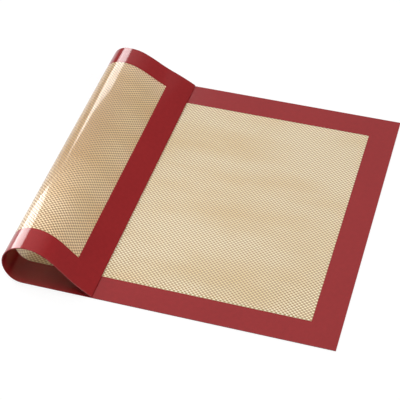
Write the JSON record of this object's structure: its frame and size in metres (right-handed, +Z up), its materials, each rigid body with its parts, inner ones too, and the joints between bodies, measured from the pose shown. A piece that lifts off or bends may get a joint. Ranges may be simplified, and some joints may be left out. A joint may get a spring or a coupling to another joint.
{
  "type": "silicone baking mat",
  "caption": "Flat flexible baking sheet of coated glass-fibre weave with a red silicone border, one end rolled over; the rolled end unrolls flat.",
  "frame": {"origin": "on the underside, in the middle of the flat panel", "axes": "+X along the mat to its square end, +Y across it to the back edge, +Z up"},
  "size_m": [0.29, 0.3, 0.0419],
  "materials": {
    "glass_weave": "plain weave of glass-fibre yarn",
    "clear_silicone": "clear, glossy, weave showing through",
    "red_silicone": "smooth satin, deep red"
  },
  "bodies": {
    "flat_sheet": {"flat_weave": "glass_weave", "flat_upper_coat": "clear_silicone", "flat_lower_coat": "clear_silicone", "flat_border": "red_silicone"},
    "heel_1": {"heel_1_weave": "glass_weave", "heel_1_upper_coat": "clear_silicone", "heel_1_lower_coat": "clear_silicone", "heel_1_border": "red_silicone"},
    "heel_2": {"heel_2_weave": "glass_weave", "heel_2_upper_coat": "clear_silicone", "heel_2_lower_coat": "clear_silicone", "heel_2_border": "red_silicone"},
    "heel_3": {"heel_3_weave": "glass_weave", "heel_3_upper_coat": "clear_silicone", "heel_3_lower_coat": "clear_silicone", "heel_3_border": "red_silicone"},
    "side_1": {"side_1_weave": "glass_weave", "side_1_upper_coat": "clear_silicone", "side_1_lower_coat": "clear_silicone", "side_1_border": "red_silicone"},
    "side_2": {"side_2_weave": "glass_weave", "side_2_upper_coat": "clear_silicone", "side_2_lower_coat": "clear_silicone", "side_2_border": "red_silicone"},
    "side_3": {"side_3_weave": "glass_weave", "side_3_upper_coat": "clear_silicone", "side_3_lower_coat": "clear_silicone", "side_3_border": "red_silicone"},
    "side_4": {"side_4_weave": "glass_weave", "side_4_upper_coat": "clear_silicone", "side_4_lower_coat": "clear_silicone", "side_4_border": "red_silicone"},
    "side_5": {"side_5_weave": "glass_weave", "side_5_upper_coat": "clear_silicone", "side_5_lower_coat": "clear_silicone", "side_5_border": "red_silicone"},
    "side_6": {"side_6_weave": "glass_weave", "side_6_upper_coat": "clear_silicone", "side_6_lower_coat": "clear_silicone", "side_6_border": "red_silicone"},
    "crown_1": {"crown_1_weave": "glass_weave", "crown_1_upper_coat": "clear_silicone", "crown_1_lower_coat": "clear_silicone", "crown_1_border": "red_silicone"},
    "crown_2": {"crown_2_weave": "glass_weave", "crown_2_upper_coat": "clear_silicone", "crown_2_lower_coat": "clear_silicone", "crown_2_border": "red_silicone"},
    "flap": {"flap_weave": "glass_weave", "flap_upper_coat": "clear_silicone", "flap_lower_coat": "clear_silicone", "flap_border": "red_silicone"}
  },
  "joints": [
    {"name": "unroll", "type": "hinge", "parent": "flat_sheet", "child": "heel_1", "pos_m": [-0.135, 0, 0.0004], "axis": [0.0167, -0.9999, 0], "range_deg": [0, 9.33]},
    {"name": "unroll_heel_2", "type": "hinge", "parent": "heel_1", "child": "heel_2", "pos_m": [-0.14016, 0, 0.00125], "axis": [0.0194, -0.9998, -0.0004], "range_deg": [0, 18.67]},
    {"name": "unroll_heel_3", "type": "hinge", "parent": "heel_2", "child": "heel_3", "pos_m": [-0.14477, 0, 0.0037], "axis": [0.0218, -0.9998, -0.0017], "range_deg": [0, 18.67]},
    {"name": "unroll_side_1", "type": "hinge", "parent": "heel_3", "child": "side_1", "pos_m": [-0.14836, 0, 0.0075], "axis": [0.0237, -0.9997, -0.0038], "range_deg": [0, 19.25]},
    {"name": "unroll_side_2", "type": "hinge", "parent": "side_1", "child": "side_2", "pos_m": [-0.15103, 0, 0.01348], "axis": [0.0208, -0.9998, 0.0028], "range_deg": [0, 19.84]},
    {"name": "unroll_side_3", "type": "hinge", "parent": "side_2", "child": "side_3", "pos_m": [-0.15152, 0, 0.02002], "axis": [0.0203, -0.9997, 0.01], "range_deg": [0, 19.84]},
    {"name": "unroll_side_4", "type": "hinge", "parent": "side_3", "child": "side_4", "pos_m": [-0.14976, 0, 0.02633], "axis": [0.0222, -0.9996, 0.0169], "range_deg": [0, 19.84]},
    {"name": "unroll_side_5", "type": "hinge", "parent": "side_4", "child": "side_5", "pos_m": [-0.14596, 0, 0.03166], "axis": [0.0263, -0.9994, 0.0227], "range_deg": [0, 19.84]},
    {"name": "unroll_side_6", "type": "hinge", "parent": "side_5", "child": "side_6", "pos_m": [-0.14058, 0, 0.0354], "axis": [0.0322, -0.9991, 0.0268], "range_deg": [0, 19.84]},
    {"name": "unroll_crown_1", "type": "hinge", "parent": "side_6", "child": "crown_1", "pos_m": [-0.13425, 0, 0.03708], "axis": [0.0392, -0.9988, 0.0287], "range_deg": [0, 17.67]},
    {"name": "unroll_crown_2", "type": "hinge", "parent": "crown_1", "child": "crown_2", "pos_m": [-0.12566, 0, 0.03667], "axis": [0.0301, -0.9991, 0.0291], "range_deg": [0, 15.5]},
    {"name": "unroll_flap", "type": "hinge", "parent": "crown_2", "child": "flap", "pos_m": [-0.1175, 0, 0.03398], "axis": [0.0214, -0.9993, 0.032], "range_deg": [0, 10.62]}
  ],
  "couplings": [
    {"joint": "unroll_heel_2", "follows": "unroll", "ratio": 2},
    {"joint": "unroll_heel_3", "follows": "unroll", "ratio": 2},
    {"joint": "unroll_side_1", "follows": "unroll", "ratio": 2.0625},
    {"joint": "unroll_side_2", "follows": "unroll", "ratio": 2.125},
    {"joint": "unroll_side_3", "follows": "unroll", "ratio": 2.125},
    {"joint": "unroll_side_4", "follows": "unroll", "ratio": 2.125},
    {"joint": "unroll_side_5", "follows": "unroll", "ratio": 2.125},
    {"joint": "unroll_side_6", "follows": "unroll", "ratio": 2.125},
    {"joint": "unroll_crown_1", "follows": "unroll", "ratio": 1.8929},
    {"joint": "unroll_crown_2", "follows": "unroll", "ratio": 1.6607},
    {"joint": "unroll_flap", "follows": "unroll", "ratio": 1.1376}
  ]
}
